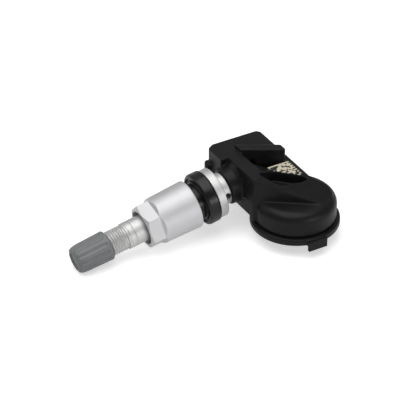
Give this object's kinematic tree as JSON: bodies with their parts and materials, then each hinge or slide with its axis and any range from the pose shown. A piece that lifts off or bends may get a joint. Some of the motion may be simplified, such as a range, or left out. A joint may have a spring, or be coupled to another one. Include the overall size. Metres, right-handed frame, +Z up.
{
  "type": "tyre pressure sensor",
  "caption": "Black sensor housing with a round end, clamped to a slanting aluminium tyre valve with a collar nut, rubber rim grommet and ribbed cap.",
  "frame": {"origin": "on the valve axis, at the plane where the rubber grommet seats on the wheel rim", "axes": "+Z up from the sensor's base, -X towards the valve's cap, whose axis dips 10.1 degrees below -X"},
  "size_m": [0.0811, 0.0408, 0.0221],
  "materials": {
    "grey_plastic": "satin",
    "rubber": "satin",
    "stem_aluminium": "fine turned",
    "nut_aluminium": "matt, with fine turning lines",
    "ptfe": "matt",
    "brass": "turned",
    "steel": "plain",
    "black_plastic": "fine grained, moulded",
    "label": "matt, with dark square cells",
    "filter": "matt membrane",
    "board": "lacquered",
    "chip": "matt",
    "ferrite": "matt",
    "copper": "lacquered wire",
    "ceramic": "matt"
  },
  "bodies": {
    "sensor": {"valve_stem": "stem_aluminium", "rim_grommet": "rubber", "core_barrel": "brass", "core_barrel_seal": "ptfe", "core_spring": "steel", "stud_washer": "steel", "stud_nut": "steel", "housing_shell": "black_plastic", "code_label": "label", "base_cover": "black_plastic", "inlet_filter": "filter", "circuit_board": "board", "coin_cell": "steel", "battery_tab_top": "steel", "battery_tab_bottom": "steel", "sensor_chip": "chip", "radio_chip": "chip", "coil_core": "ferrite", "coil_winding": "copper", "aerial": "steel", "crystal": "steel", "capacitors": "ceramic"},
    "cap_lift_part": {"cap_seal": "rubber"},
    "cap": {"valve_cap": "grey_plastic"},
    "nut_travel_part": {"nut_washer": "ptfe"},
    "nut": {"collar_nut": "nut_aluminium"},
    "core_pin_part": {"core_pin": "brass", "core_seat_seal": "rubber"}
  },
  "joints": [
    {"name": "cap_lift", "type": "slide", "parent": "sensor", "child": "cap_lift_part", "axis": [-0.9845, 0, -0.1754], "range_m": [0, 0.0093]},
    {"name": "cap_turn", "type": "hinge", "parent": "cap_lift_part", "child": "cap", "pos_m": [-0.03544, 0, -0.00631], "axis": [-0.9845, 0, -0.1754], "range_deg": [0, 4220]},
    {"name": "nut_travel", "type": "slide", "parent": "sensor", "child": "nut_travel_part", "axis": [-0.9845, 0, -0.1754], "range_m": [-0.0019, 0.006]},
    {"name": "nut_turn", "type": "hinge", "parent": "nut_travel_part", "child": "nut", "pos_m": [-0.00984, 0, -0.00175], "axis": [-0.9845, 0, -0.1754], "range_deg": [-685, 2161]},
    {"name": "core_press", "type": "slide", "parent": "sensor", "child": "core_pin_part", "axis": [0.9845, 0, 0.1754], "range_m": [0, 0.0012], "stiffness_N_per_m": 1000, "deforming": ["core_spring"]}
  ],
  "couplings": [
    {"joint": "cap_turn", "follows": "cap_lift", "rad_per_m": 7913.3},
    {"joint": "nut_turn", "follows": "nut_travel", "rad_per_m": 6283.2}
  ]
}
